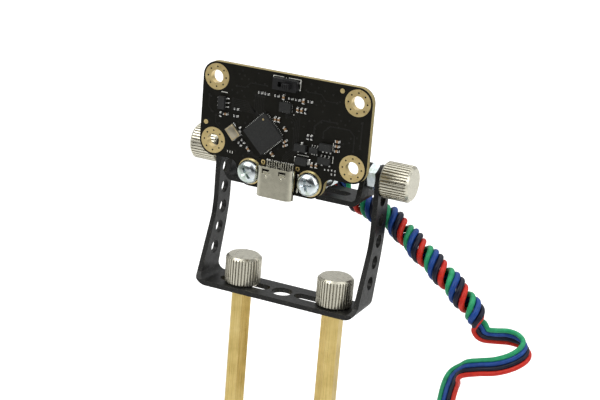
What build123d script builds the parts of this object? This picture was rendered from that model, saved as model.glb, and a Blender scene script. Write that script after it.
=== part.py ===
from build123d import *
import math
import os

# A small ranging-sensor board on a tilting bracket: two hex standoffs carry a U-shaped yoke,
# a cradle pivots between its arms, and the board is screwed to the cradle's upright tongue.
# Millimetres. Origin on the ground plane midway between the standoffs, +X along the base bar,
# +Z up. Front is -Y, the component side of the board; the camera looks out to +Y, the back.

os.makedirs("parts", exist_ok=True)

# ---------------------------------------------------------------- shared sizes
SHEET = 1.2              # bracket sheet, coating included
OVER = 1.0               # how far a cutter runs past a surface
CORNER_CLEAR = 0.02      # turned forms stand this far outside the corners they trim

M3_SHANK_R = 1.45        # thread crest radius of a screw
M3_ROOT_R = 1.18         # bottom of the grooves on a threaded end
THREAD_PITCH = 0.5
M3_TAPPED_R = 1.50       # tapped hole round a fitted screw
M3_MINOR_R = 1.25        # empty tapped hole
M3_CLEAR_R = 1.60        # clearance hole
SLOT_R = M3_CLEAR_R

NUT_AF, NUT_T = 5.5, 2.4
NUT_CHAMFER = 0.35
NUT_MOUTH_R = 1.75       # countersunk mouth of the nut's bore

THUMB_R, THUMB_L, THUMB_RIDGES = 4.3, 7.0, 36
THUMB_THREAD_L = 2.2     # grooved length at the tip
BASE_SHANK_L, PIVOT_SHANK_L = 8.0, 6.0
# One ridge of the knurl: degrees from its crest, depth below the crest
THUMB_RIDGE = [(-4.1, 0.30), (-2.8, 0.03), (0.0, 0.0), (2.8, 0.03), (4.1, 0.30)]

STANDOFF_L = 35.0
STANDOFF_AF = 4.5
STANDOFF_PITCH = 24.0
STANDOFF_TOP = 10.0      # depth of the upper end's full-size bore

MID_X = -1.4             # middle of yoke, cradle and board, set sideways on the yoke's slots
BAR_Z = STANDOFF_L       # underside of the base bar
PIVOT_Y = 5.5
PIVOT_Z = BAR_Z + SHEET + 30.8

YOKE_W = 42.0            # over the outer faces of the arms
YOKE_BEND_R = 3.0        # outside bend radius
BAR_D = 10.0             # depth of the base bar
BAR_HOLE_R = 2.5
BAR_SLOT = (3.3, 16.4)   # slot ends, measured from the bar's middle
HOLE_PITCH = 5.0
HOLE_COUNT = 6           # holes in an arm, the pivot hole included
ARM_HALF = 3.15          # half width of an arm
ARM_HALF_FOOT = 4.15     # half width where it meets the base bar
ARM_STRAIGHT = 11.0      # straight run below the pivot
ARM_BEND_R = 26.0        # centreline radius of the curve
ARM_LEAN = math.radians(19.0)   # lean below the curve
FLARE_START = 17.0       # distance below the pivot where the arm starts to widen
FOOT_DISTANCE = 31.4     # distance below the pivot where the centreline reaches the fold
ARM_STEPS = 32

CRADLE_W = YOKE_W - 2 * SHEET - 2 * NUT_T
CRADLE_BEND_R = 2.2
CRADLE_FLOOR = -6.5      # underside of the floor, from the pivot
CRADLE_FRONT, CRADLE_BACK = -5.4, 4.2   # from the pivot
EAR_R = 3.1
# Side outline of the cradle below its round ears: (y, z) from the pivot
EAR_OUTLINE = [(CRADLE_FRONT, -7), (CRADLE_FRONT, -5.2), (-3.02, 0.7), (3.02, 0.7),
               (3.95, -3.6), (CRADLE_BACK, -5.2), (CRADLE_BACK, -7)]
CRADLE_SLOT = (4.4, 13.0)   # slot ends, measured from the cradle's middle
CRADLE_SLOT_Y = PIVOT_Y - 0.6
CRADLE_Z = PIVOT_Z + CRADLE_FLOOR

TONGUE_Y0 = PIVOT_Y + CRADLE_FRONT
TONGUE_Y1 = TONGUE_Y0 + SHEET
TONGUE_TOP = PIVOT_Z + 1.7
TONGUE_NECK = 6.5        # half width of the neck
TONGUE_LOBE_R = 2.75
TONGUE_FOLD_R = 1.5
TAB_HOLE_X = 7.5
TAB_HOLE_Z = PIVOT_Z - 1.0

SPACER_R, SPACER_L = 2.75, 5.0
SPACER_CHAMFER = 0.15

PCB_W, PCB_H, PCB_T, PCB_R = 42.0, 22.0, 1.6, 3.5
PCB_HOLE_X, PCB_HOLE_Z = 17.5, 7.5
TAB_HALF, TAB_DROP, TAB_R = 11.0, 5.5, 3.5
TAB_ROOT_R = 2.0         # inside corners where the tab meets the board
PCB_FRONT = TONGUE_Y0 - SPACER_L - PCB_T
PCB_BACK = PCB_FRONT + PCB_T
PCB_Z = PIVOT_Z + 12.0   # middle of the hole pattern
RING_R = 3.07
RIM = 0.05               # thickness of the plating
STITCH_COUNT, STITCH_R, STITCH_CIRCLE_R = 8, 0.21, 2.3

TAB_HOLES = [(MID_X + side * TAB_HOLE_X, TAB_HOLE_Z) for side in (-1, 1)]
ALL_HOLES = [(MID_X + side * PCB_HOLE_X, PCB_Z + level * PCB_HOLE_Z)
             for side in (-1, 1) for level in (-1, 1)] + TAB_HOLES


# ---------------------------------------------------------------- helpers
def box(x0, x1, y0, y1, z0, z1):
    return Pos((x0 + x1) / 2, (y0 + y1) / 2, (z0 + z1) / 2) * Box(x1 - x0, y1 - y0, z1 - z0)


def block(x, half_w, y0, y1, z, half_h):
    """Box from y0 to y1, centred on (x, z)."""
    return box(x - half_w, x + half_w, y0, y1, z - half_h, z + half_h)


def rod_x(radius, x0, x1, y, z):
    return Pos((x0 + x1) / 2, y, z) * Rot(0, 90, 0) * Cylinder(radius, x1 - x0)


def rod_y(radius, x, y0, y1, z):
    return Pos(x, (y0 + y1) / 2, z) * Rot(90, 0, 0) * Cylinder(radius, y1 - y0)


def rod_z(radius, x, y, z0, z1):
    return Pos(x, y, (z0 + z1) / 2) * Cylinder(radius, z1 - z0)


def prism_yz(points, x0, x1):
    """Closed outline of (y, z) points, extruded from x0 to x1."""
    face = make_face(Plane.YZ * Polyline(*points, close=True))
    return Pos(x0, 0, 0) * extrude(face, amount=x1 - x0, dir=(1, 0, 0))


def prism_z(points, height):
    """Closed outline of (x, y) points, extruded up from z = 0."""
    wire = Polyline(*[(x, y, 0) for x, y in points], close=True)
    return extrude(make_face(wire), amount=height, dir=(0, 0, 1))


def polar(radius, degrees):
    angle = math.radians(degrees)
    return radius * math.cos(angle), radius * math.sin(angle)


def turned(profile):
    """Solid of revolution about Z from (r, z) points."""
    wire = Polyline(*[(r, 0, z) for r, z in profile], close=True)
    return revolve(make_face(wire), Axis.Z)


def chamfered_rod(radius, length, inset, rise):
    """Rod on Z from z = 0, both ends chamfered by inset across and rise along."""
    return turned([(0, 0), (radius - inset, 0), (radius, rise), (radius, length - rise),
                   (radius - inset, length), (0, length)])


def chamfered_hex(across_flats, length, turn, inset, rise):
    """Hex bar on Z from z = 0, its corners chamfered at both ends."""
    corner_r = across_flats / math.sqrt(3)
    bar = prism_z([polar(corner_r, 60 * k + turn) for k in range(6)], length)
    return bar & chamfered_rod(corner_r + CORNER_CLEAR, length, inset + CORNER_CLEAR, rise)


def u_channel(width, height, r_out, y0, y1):
    """Folded U of sheet, open at the top: outer width, folds of outside radius r_out,
    underside on z = 0."""
    outer = width / 2
    inner = outer - SHEET
    r_in = r_out - SHEET
    bend_x = outer - r_out

    def fold(side, radius):
        """Start, middle and end of a fold's arc, from the wall to the floor."""
        reach = radius * math.sqrt(0.5)
        return [(side * (bend_x + radius), r_out),
                (side * (bend_x + reach), r_out - reach),
                (side * bend_x, r_out - radius)]

    with BuildSketch(Plane.XZ) as section:
        with BuildLine():
            Line((-outer, height), (-outer, r_out))
            ThreePointArc(*fold(-1, r_out))
            Line((-bend_x, 0), (bend_x, 0))
            ThreePointArc(*fold(1, r_out)[::-1])
            Polyline((outer, r_out), (outer, height), (inner, height), (inner, r_out))
            ThreePointArc(*fold(1, r_in))
            Line((bend_x, SHEET), (-bend_x, SHEET))
            ThreePointArc(*fold(-1, r_in)[::-1])
            Polyline((-inner, r_out), (-inner, height), (-outer, height))
        make_face()
    return Pos(0, y0, 0) * extrude(section.sketch.face(), amount=y1 - y0, dir=(0, 1, 0))


def cut_slots(part, ends, y, floor_z):
    """Cut a slot along X through a floor of sheet on each side of the middle."""
    z0, z1 = floor_z - OVER, floor_z + SHEET + OVER
    for side in (-1, 1):
        centres = sorted(MID_X + side * x for x in (ends[0] + SLOT_R, ends[1] - SLOT_R))
        for x in centres:
            part = part - rod_z(SLOT_R, x, y, z0, z1)
        part = part - box(*centres, y - SLOT_R, y + SLOT_R, z0, z1)
    return part


def hex_nut(turn):
    """M3 nut on Z, from z = 0 to NUT_T, corners chamfered both sides, tapped bore."""
    body = chamfered_hex(NUT_AF, NUT_T, turn, 2 * NUT_CHAMFER, NUT_CHAMFER + CORNER_CLEAR)
    return body - turned([(0, -0.1), (NUT_MOUTH_R, -0.1), (M3_TAPPED_R, 0.25),
                          (M3_TAPPED_R, NUT_T - 0.25), (NUT_MOUTH_R, NUT_T + 0.1),
                          (0, NUT_T + 0.1)])


def screw_shank(top, length, thread_l):
    """Shank on Z from z = top down to -length, grooved over its last thread_l."""
    z, tip = thread_l - length, -length
    points = [(0, top), (M3_SHANK_R, top), (M3_SHANK_R, z)]
    while z - THREAD_PITCH > tip + 0.35:
        points += [(M3_ROOT_R, z - THREAD_PITCH / 2), (M3_SHANK_R, z - THREAD_PITCH)]
        z -= THREAD_PITCH
    return turned(points + [(M3_ROOT_R, tip + 0.12), (M3_ROOT_R - 0.15, tip), (0, tip)])


def thumb_screw(shank_l):
    """Knurled thumb screw on Z: head from z = 0 up to THUMB_L, shank below."""
    knurl = [polar(THUMB_R - depth, 360.0 / THUMB_RIDGES * k + offset)
             for k in range(THUMB_RIDGES) for offset, depth in THUMB_RIDGE]
    form_r = THUMB_R + CORNER_CLEAR
    chamfer = 0.62
    form = turned([(0, 0), (THUMB_R - 0.45, 0), (form_r, 0.47), (form_r, THUMB_L - chamfer),
                   (THUMB_R - chamfer, THUMB_L), (0, THUMB_L)])
    return (prism_z(knurl, THUMB_L) & form) + screw_shank(0.5, shank_l, THUMB_THREAD_L)


def save(node, shape):
    shape.label = node
    export_step(shape, "parts/" + node + ".step")


def group(solids):
    return Compound(children=list(solids))


# ---------------------------------------------------------------- standoffs and their screws
def standoff(x, turn):
    body = chamfered_hex(STANDOFF_AF, STANDOFF_L, turn, inset=0.45, rise=0.3)
    # bored through at the thread's minor diameter, the upper end at its full size
    shoulder = STANDOFF_L - STANDOFF_TOP
    body = body - rod_z(M3_MINOR_R, 0, 0, -0.1, shoulder + 0.1)
    body = body - rod_z(M3_TAPPED_R, 0, 0, shoulder, STANDOFF_L + 0.1)
    return Pos(x, 0, 0) * body


save("standoffs", group([standoff(-STANDOFF_PITCH / 2, 0.0), standoff(STANDOFF_PITCH / 2, 30.0)]))

for name, side in (("left", -1), ("right", 1)):
    place = Pos(side * STANDOFF_PITCH / 2, 0, BAR_Z + SHEET) * Rot(0, 0, 3.0 * side)
    save("base_thumb_screw_" + name, place * thumb_screw(BASE_SHANK_L))


# ---------------------------------------------------------------- yoke bracket
def arm_point(distance):
    """Centreline point and downward direction at a distance below the pivot, (y, z)."""
    if distance <= ARM_STRAIGHT:
        return (PIVOT_Y, PIVOT_Z - distance), (0.0, -1.0)
    angle = min((distance - ARM_STRAIGHT) / ARM_BEND_R, ARM_LEAN)
    beyond = distance - ARM_STRAIGHT - ARM_BEND_R * angle   # straight run below the curve
    down_y, down_z = -math.sin(angle), -math.cos(angle)
    y = PIVOT_Y - ARM_BEND_R * (1 - math.cos(angle)) + beyond * down_y
    z = PIVOT_Z - ARM_STRAIGHT - ARM_BEND_R * math.sin(angle) + beyond * down_z
    return (y, z), (down_y, down_z)


def arm_half(distance):
    flare = min(max((distance - FLARE_START) / (FOOT_DISTANCE - FLARE_START), 0.0), 1.0)
    return ARM_HALF + (ARM_HALF_FOOT - ARM_HALF) * flare


def yoke_outline():
    """Side outline of the bar and arms up to the pivot, (y, z)."""
    front, back = [], []
    for k in range(ARM_STEPS + 1):
        distance = FOOT_DISTANCE * k / ARM_STEPS
        (y, z), (down_y, down_z) = arm_point(distance)
        half = arm_half(distance)
        front.append((y + down_z * half, z - down_y * half))
        back.append((y - down_z * half, z + down_y * half))
    fold_top = BAR_Z + YOKE_BEND_R * 0.85
    front = [point for point in front if point[1] > fold_top]
    back = [point for point in back if point[1] > fold_top]
    low, high = BAR_Z - 1, BAR_Z + SHEET + 0.15
    return ([(-BAR_D / 2, low), (-BAR_D / 2, high)] + front[::-1]
            + back + [(BAR_D / 2, high), (BAR_D / 2, low)])


def yoke_bracket():
    span = (MID_X - YOKE_W / 2 - OVER, MID_X + YOKE_W / 2 + OVER)
    side_form = prism_yz(yoke_outline(), *span) + rod_x(ARM_HALF, *span, PIVOT_Y, PIVOT_Z)
    channel = u_channel(YOKE_W, PIVOT_Z - BAR_Z + 8, YOKE_BEND_R, -20, 20)
    yoke = (Pos(MID_X, 0, BAR_Z) * channel) & side_form
    for k in range(HOLE_COUNT):
        (y, z), _ = arm_point(HOLE_PITCH * k)
        yoke = yoke - rod_x(M3_CLEAR_R, *span, y, z)
    yoke = yoke - rod_z(BAR_HOLE_R, MID_X, 0, BAR_Z - OVER, BAR_Z + SHEET + OVER)
    return cut_slots(yoke, BAR_SLOT, 0, BAR_Z).solids()[0]


save("yoke_bracket", yoke_bracket())


# ---------------------------------------------------------------- cradle bracket
def cradle_tongue():
    """Upright tongue at the front edge of the floor, a round lobe at each side."""
    tongue = box(MID_X - TONGUE_NECK, MID_X + TONGUE_NECK, TONGUE_Y0, TONGUE_Y1,
                 CRADLE_Z, TONGUE_TOP)
    tongue = tongue + box(MID_X - TAB_HOLE_X, MID_X + TAB_HOLE_X, TONGUE_Y0, TONGUE_Y1,
                          TAB_HOLE_Z - TONGUE_LOBE_R + 0.05, TONGUE_TOP)
    for x, z in TAB_HOLES:
        tongue = tongue + rod_y(TONGUE_LOBE_R, x, TONGUE_Y0, TONGUE_Y1, z)
    return tongue


def cradle_bracket():
    span = (MID_X - CRADLE_W / 2 - OVER, MID_X + CRADLE_W / 2 + OVER)
    channel = Pos(MID_X, PIVOT_Y, CRADLE_Z) * u_channel(
        CRADLE_W, 12, CRADLE_BEND_R, CRADLE_FRONT, CRADLE_BACK)
    ear_form = prism_yz([(PIVOT_Y + y, PIVOT_Z + z) for y, z in EAR_OUTLINE], *span)
    ear_form = ear_form + rod_x(EAR_R, *span, PIVOT_Y, PIVOT_Z)
    cradle = channel & ear_form
    cradle = cradle - rod_x(M3_CLEAR_R, *span, PIVOT_Y, PIVOT_Z)
    cradle = cradle + cradle_tongue()
    # rounded outside of the tongue's fold
    fold_y, fold_z = TONGUE_Y0 + TONGUE_FOLD_R, CRADLE_Z + TONGUE_FOLD_R
    corner = box(MID_X - TONGUE_NECK, MID_X + TONGUE_NECK,
                 TONGUE_Y0 - 0.1, fold_y, CRADLE_Z - 0.1, fold_z)
    cradle = cradle - (corner - rod_x(TONGUE_FOLD_R, MID_X - TONGUE_NECK - OVER,
                                      MID_X + TONGUE_NECK + OVER, fold_y, fold_z))
    for x, z in TAB_HOLES:
        cradle = cradle - rod_y(M3_CLEAR_R, x, TONGUE_Y0 - OVER, TONGUE_Y1 + OVER, z)
    cradle = cut_slots(cradle, CRADLE_SLOT, CRADLE_SLOT_Y, CRADLE_Z)
    cradle = cradle - rod_z(M3_CLEAR_R, MID_X, CRADLE_SLOT_Y,
                            CRADLE_Z - OVER, CRADLE_Z + SHEET + OVER)
    return cradle.solids()[0]


save("cradle_bracket", cradle_bracket())

# ---------------------------------------------------------------- tilt pivot hardware
# the nuts fill the gaps between the cradle's ears and the yoke's arms
save("pivot_nuts", group(Pos(x, PIVOT_Y, PIVOT_Z) * Rot(0, 90, 0) * hex_nut(0.0)
                         for x in (MID_X - CRADLE_W / 2 - NUT_T, MID_X + CRADLE_W / 2)))
for name, side, turn in (("right", 1, 4.0), ("left", -1, 1.0)):
    place = Pos(MID_X + side * YOKE_W / 2, PIVOT_Y, PIVOT_Z) * Rot(0, side * 90, 0)
    save("pivot_thumb_screw_" + name, place * Rot(0, 0, turn) * thumb_screw(PIVOT_SHANK_L))


# ---------------------------------------------------------------- sensor board
def sensor_board():
    faces = (PCB_FRONT, PCB_BACK)
    through = (PCB_FRONT - OVER, PCB_BACK + OVER)
    edge_z = PCB_Z - PCB_H / 2
    plate = block(MID_X, PCB_W / 2, *faces, PCB_Z, PCB_H / 2)
    plate = fillet(plate.edges().filter_by(Axis.Y), PCB_R)
    tab = box(MID_X - TAB_HALF, MID_X + TAB_HALF, *faces, edge_z - TAB_DROP, edge_z + 3)
    tab = fillet(tab.edges().filter_by(Axis.Y).group_by(Axis.Z)[0], TAB_R)
    board = plate + tab
    for side in (-1, 1):
        x = MID_X + side * (TAB_HALF + TAB_ROOT_R)
        z = edge_z - TAB_ROOT_R
        web_x = sorted((MID_X + side * (TAB_HALF - 0.5), x))
        web = box(*web_x, *faces, z, edge_z + 0.5)
        board = board + (web - rod_y(TAB_ROOT_R, x, *through, z))
    for x, z in ALL_HOLES:
        board = board - rod_y(M3_CLEAR_R, x, *through, z)
    # locating holes under the receptacle
    for side in (-1, 1):
        board = board - rod_y(0.3, MID_X + side * 2.89, *through, PCB_Z - 11.3)
    return board.solids()[0]


def plated_rim(x, z):
    """A thin ring on each face and the barrel between them, with stitching holes."""
    front, back = PCB_FRONT, PCB_BACK
    rim = rod_y(RING_R, x, front - RIM, front, z) + rod_y(RING_R, x, back, back + RIM, z) \
        + rod_y(M3_CLEAR_R, x, front - RIM, back + RIM, z)
    rim = rim - rod_y(M3_CLEAR_R - RIM, x, front - OVER, back + OVER, z)
    for k in range(STITCH_COUNT):
        dx, dz = polar(STITCH_CIRCLE_R, 360 / STITCH_COUNT * k)
        rim = rim - rod_y(STITCH_R, x + dx, front - OVER, front, z + dz) \
            - rod_y(STITCH_R, x + dx, back, back + OVER, z + dz)
    return rim


save("sensor_board", sensor_board())
save("hole_plating", group(plated_rim(x, z) for x, z in ALL_HOLES))

# ---------------------------------------------------------------- board fasteners
# (r, z) profiles: the pan head stands on z = 0, the recess form limits its cross
PAN_HEAD = [(0, 0), (2.72, 0), (2.78, 0.25), (2.72, 0.95), (2.42, 1.5), (1.9, 1.88),
            (1.2, 2.1), (0, 2.2)]
RECESS_FORM = [(0, 0.6), (0.5, 0.8), (1.7, 2.3), (0, 2.4)]
CROSS_L, CROSS_W, CROSS_H, CROSS_Z = 3.1, 0.62, 1.5, 1.75
BOARD_SCREW_L, BOARD_THREAD_L = 12.0, 2.1


def spacer():
    length = SPACER_L - RIM
    body = chamfered_rod(SPACER_R, length, SPACER_CHAMFER, SPACER_CHAMFER)
    return body - rod_z(M3_CLEAR_R, 0, 0, -OVER, SPACER_L + OVER)


def pan_screw():
    """Domed cross-recessed head up from z = 0, shank below."""
    cross = Pos(0, 0, CROSS_Z) * Box(CROSS_L, CROSS_W, CROSS_H) \
        + Pos(0, 0, CROSS_Z) * Box(CROSS_W, CROSS_L, CROSS_H)
    cross = cross & turned(RECESS_FORM)
    return (turned(PAN_HEAD) - cross) + screw_shank(0.3, BOARD_SCREW_L, BOARD_THREAD_L)


save("board_spacers", group(Pos(x, PCB_BACK + RIM, z) * Rot(-90, 0, 0) * spacer()
                            for x, z in TAB_HOLES))
save("board_screws", group(
    Pos(x, PCB_FRONT - RIM, z) * Rot(90, 0, 0) * Rot(0, 0, turn) * pan_screw()
    for (x, z), turn in zip(TAB_HOLES, (38, 12))))
save("board_nuts", group(Pos(x, TONGUE_Y1, z) * Rot(-90, 0, 0) * hex_nut(30.0)
                         for x, z in TAB_HOLES))


# ---------------------------------------------------------------- board components
def on_board(u, v, w, h, t, rot=0.0, lift=0.0):
    """A block w by h, standing t off the component face and raised by lift, centred on (u, v)
    from the hole pattern's middle, turned rot degrees counterclockwise seen from the front."""
    return Pos(MID_X + u, PCB_FRONT - lift - t / 2, PCB_Z + v) * Rot(0, -rot, 0) * Box(w, t, h)


# receptacle at the board's lower edge, its mouth downwards
USB_TOP, USB_MOUTH = PCB_Z - 10.2, PCB_Z - 17.3
USB_Y = PCB_FRONT - 1.63
USB_HALF_W, USB_HALF_T, USB_WALL = 4.47, 1.6, 0.3
CONTACT_COUNT, CONTACT_SPAN = 12, 6.4


def stadium(half_w, half_t, z0, z1):
    offset = half_w - half_t
    ends = rod_z(half_t, MID_X - offset, USB_Y, z0, z1) \
        + rod_z(half_t, MID_X + offset, USB_Y, z0, z1)
    return ends + box(MID_X - offset, MID_X + offset, USB_Y - half_t, USB_Y + half_t, z0, z1)


def usb_shell():
    shell = stadium(USB_HALF_W, USB_HALF_T, USB_MOUTH, USB_TOP) \
        - stadium(USB_HALF_W - USB_WALL, USB_HALF_T - USB_WALL, USB_MOUTH - OVER, USB_TOP - 0.35)
    # two windows in the front wall near the closed end, a round dimple below each
    for side in (-1, 1):
        x = MID_X + side * 2.05
        shell = shell - box(x - 0.9, x + 0.9, USB_Y - 2, USB_Y - 0.9,
                            USB_TOP - 1.55, USB_TOP - 0.5)
    for side in (-1, 1):
        shell = shell + (Pos(MID_X + side * 1.9, USB_Y - 1.42, USB_TOP - 2.3) * Sphere(0.42))
    return shell.solids()[0]


def usb_contact(k):
    x = MID_X + CONTACT_SPAN * (k / (CONTACT_COUNT - 1) - 0.5)
    return box(x - 0.12, x + 0.12, PCB_FRONT - 0.2, PCB_FRONT - 0.02,
               USB_TOP + 0.02, USB_TOP + 0.95)


save("usb_shell", usb_shell())
save("usb_tongue", box(MID_X - 3.3, MID_X + 3.3, USB_Y - 0.35, USB_Y + 0.35,
                       USB_MOUTH + 0.9, USB_TOP - 0.36))
save("usb_contacts", group(usb_contact(k) for k in range(CONTACT_COUNT)))

save("controller_chip", on_board(-4.65, -3.55, 7.0, 7.0, 0.85, rot=45))
save("crystal_can", on_board(-12.4, -4.6, 3.2, 2.5, 0.7, rot=-48))

SWITCH_U, SWITCH_V = 0.1, 8.75
SLIDER_U = SWITCH_U + 0.75


def switch_slider():
    """Slider standing in the housing's window, three grooves across its front face."""
    slider = on_board(SLIDER_U, SWITCH_V, 1.7, 1.1, 2.1, lift=0.7)
    for k in (-1, 0, 1):
        slider = slider - on_board(SLIDER_U + k * 0.5, SWITCH_V, 0.18, 1.3, 0.3, lift=2.65)
    return slider


save("switch_housing", on_board(SWITCH_U, SWITCH_V, 5.9, 2.6, 1.45)
     - on_board(SWITCH_U, SWITCH_V, 3.3, 1.2, 1.2, lift=0.6))
save("switch_slider", switch_slider())

# u, v, width, height, thickness, turn, lift
POWER_CHIPS = [
    (0.3, 3.5, 2.8, 2.2, 0.75, 0, 0),
    (-15.6, 1.8, 1.6, 2.9, 1.0, 0, 0.08),
    (4.85, -5.0, 2.8, 1.6, 1.0, 0, 0.08),
    (8.2, -5.0, 2.0, 1.25, 0.9, 0, 0.08),
    (11.0, -3.75, 2.9, 1.6, 1.0, 0, 0.08),
    (10.9, -6.9, 2.9, 1.5, 1.0, 0, 0.08),
]
save("power_chips", group(on_board(*chip) for chip in POWER_CHIPS))
save("diode", on_board(5.3, -8.0, 2.8, 1.7, 1.05, lift=0.06))

# u, v, turn
PASSIVES = [
    (-6.2, 5.7, 0), (-4.55, 5.7, 0), (-2.1, 5.7, 0), (-0.4, 5.7, 90), (1.35, 5.7, 0),
    (3.1, 5.7, 0), (4.5, 5.6, 90), (6.15, 5.8, 0), (3.28, 3.45, 90), (4.23, 3.45, 90),
    (5.17, 3.45, 90), (-15.95, -1.05, 90), (-14.65, -0.75, 0), (-12.0, 0.86, 0),
    (-12.0, -0.78, 0), (13.55, -1.95, 0), (13.55, -3.05, 0), (13.55, -4.15, 0),
    (7.8, -8.5, 90), (8.9, -8.45, 90), (6.3, -2.3, 90), (7.2, -2.25, 90), (-2.05, 0.3, 90),
    (-1.15, 0.3, 90), (0.55, -1.5, -50), (0.85, -4.35, -140), (0.85, -5.3, -155),
    (-8.35, -7.85, -50), (-2.2, -7.9, -45), (-10.7, -3.7, 90), (-9.75, -6.35, -42),
    (-10.5, -7.1, -42),
]
save("chip_passives", group(on_board(u, v, 1.0, 0.5, 0.5, rot) for u, v, rot in PASSIVES))

# ---------------------------------------------------------------- ranging camera on the back
CAMERA_Z = PCB_Z + 1.6
LENS_X, EMITTER_X = MID_X - 3.1, MID_X + 4.1
CAMERA_BACK = PCB_BACK + 3.4
STEM_R, STEM_Y = 2.6, PCB_BACK + 0.8     # the barrel's stem and the floor of its hole
LENS_R = 1.7
# (r, z), the domed face towards +z
GLASS_PROFILE = [(0, -0.9), (1.69, -0.9), (1.69, 0.1), (1.3, 0.45), (0.7, 0.66), (0, 0.72)]


def sensor_housing():
    housing = block(MID_X, 7.0, PCB_BACK, CAMERA_BACK, CAMERA_Z, 4.25)
    housing = fillet(housing.edges().filter_by(Axis.Y), 0.6)
    housing = housing - rod_y(STEM_R, LENS_X, STEM_Y, PCB_BACK + 4, CAMERA_Z)
    return housing - block(EMITTER_X, 1.7, PCB_BACK + 2.2, PCB_BACK + 4, CAMERA_Z, 1.7)


def lens_barrel():
    barrel = rod_y(3.1, LENS_X, CAMERA_BACK, PCB_BACK + 5.2, CAMERA_Z) \
        + rod_y(STEM_R, LENS_X, STEM_Y, PCB_BACK + 3.5, CAMERA_Z)
    barrel = barrel - rod_y(LENS_R, LENS_X, PCB_BACK + 0.4, PCB_BACK + 6, CAMERA_Z)
    mouth = Pos(LENS_X, PCB_BACK + 4.75, CAMERA_Z) * Rot(-90, 0, 0) * Cone(LENS_R, 2.5, 0.92)
    return barrel - mouth


save("sensor_housing", sensor_housing())
save("lens_barrel", lens_barrel())
save("lens_glass", Pos(LENS_X, PCB_BACK + 3.6, CAMERA_Z) * Rot(-90, 0, 0) * turned(GLASS_PROFILE))
save("emitter_window", block(EMITTER_X, 1.65, PCB_BACK + 2.21, PCB_BACK + 3.3, CAMERA_Z, 1.65))

# ---------------------------------------------------------------- lead and its plugs
SOCKET_X, SOCKET_Z = MID_X + 2.0, PCB_Z - 7.3
PLUG_BACK = PCB_BACK + 5.0
PLUG_HALF_W = 2.9
PIN_HALF, PIN_HOLE_HALF = 0.16, 0.24
PIN_OFFSETS = [1.25 * (k - 1.5) for k in range(4)]

# The lead lies as straight runs with rounded corners, (x, y, z) from the pivot axis at the
# yoke's middle: loose wires by the plug, then a coil, then a flat ribbon that loops back.
PLUG_RUN = [(2.0, 2.4, 4.7), (6.6, 7.6, -5.6), (10.8, 7.8, -9.4), (13.0, 7.6, -9.8)]
COIL_RUN = [PLUG_RUN[-1], (21.0, 6.8, -11.4), (28.9, 4.2, -15.7), (40.6, 1.2, -23.0),
            (44.9, 0.8, -27.0), (45.9, 1.0, -29.6)]
FLAT_RUN = [COIL_RUN[-1], (47.1, 1.3, -32.9), (54.6, 4.6, -33.0), (59.2, 2.0, -34.0),
            (57.0, -1.1, -35.8), (45.5, -0.8, -40.3), (41.7, 1.6, -46.0), (40.4, 3.0, -52.0),
            (40.4, 3.0, -60.6)]


def from_pivot(x, y, z):
    return MID_X + x, PIVOT_Y + y, PIVOT_Z + z


def lead_run(points, radius, corner):
    """Round rod along the points, its corners rounded."""
    heading = (Vector(*points[1]) - Vector(*points[0])).normalized()
    section = Plane(origin=points[0], z_dir=heading) * Circle(radius)
    return sweep(section, path=FilletPolyline(*points, radius=corner))


def sensor_lead():
    plug_run, coil_run, flat_run = [[from_pivot(*point) for point in run]
                                    for run in (PLUG_RUN, COIL_RUN, FLAT_RUN)]
    return (lead_run([(SOCKET_X, PLUG_BACK, SOCKET_Z)] + plug_run, 1.8, 2.6)
            + lead_run(coil_run, 2.9, 4.0) + lead_run(flat_run, 2.2, 2.6))


def lead_plug():
    plug = block(SOCKET_X, PLUG_HALF_W, PCB_BACK + 0.8, PLUG_BACK, SOCKET_Z, 1.35)
    for offset in PIN_OFFSETS:
        plug = plug - block(SOCKET_X + offset, PIN_HOLE_HALF, PCB_BACK + 0.7, PCB_BACK + 2.8,
                            SOCKET_Z, PIN_HOLE_HALF)
    return plug


def lead_end_plug():
    """Plug hanging from the lead's lower end, pin holes in its underside."""
    x, y, z = from_pivot(*FLAT_RUN[-1])
    plug = box(x - PLUG_HALF_W, x + PLUG_HALF_W, y - 1.4, y + 1.4, z - 5.4, z)
    for offset in PIN_OFFSETS:
        plug = plug - box(x + offset - PIN_HOLE_HALF, x + offset + PIN_HOLE_HALF,
                          y - PIN_HOLE_HALF, y + PIN_HOLE_HALF, z - 5.5, z - 2.6)
    return plug


save("lead_socket", block(SOCKET_X, 3.6, PCB_BACK, PCB_BACK + 3.6, SOCKET_Z, 2.0)
     - block(SOCKET_X, 3.0, PCB_BACK + 0.7, PCB_BACK + 4, SOCKET_Z, 1.45))
save("socket_pins", group(block(SOCKET_X + offset, PIN_HALF, PCB_BACK + 0.69, PCB_BACK + 2.6,
                                SOCKET_Z, PIN_HALF) for offset in PIN_OFFSETS))
save("lead_plug", lead_plug())
save("sensor_lead", sensor_lead())
save("lead_end_plug", lead_end_plug())
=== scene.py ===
"""A ranging-sensor board held upright by a cradle on a yoke, with a four-wire coiled lead.

The board stands in the XZ plane: its component face looks to -Y, its far face, with the ranging
module, to +Y. Right is +X and up is +Z. The lead runs out to the right as a coil, then turns
back and drops as a flat ribbon. The floor lies at z = 0. Measures are in mm unless a comment
says otherwise; MM turns them into metres.
"""

import math
import random

import bmesh
import bpy
import numpy as np
from mathutils import Matrix, Vector

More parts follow.
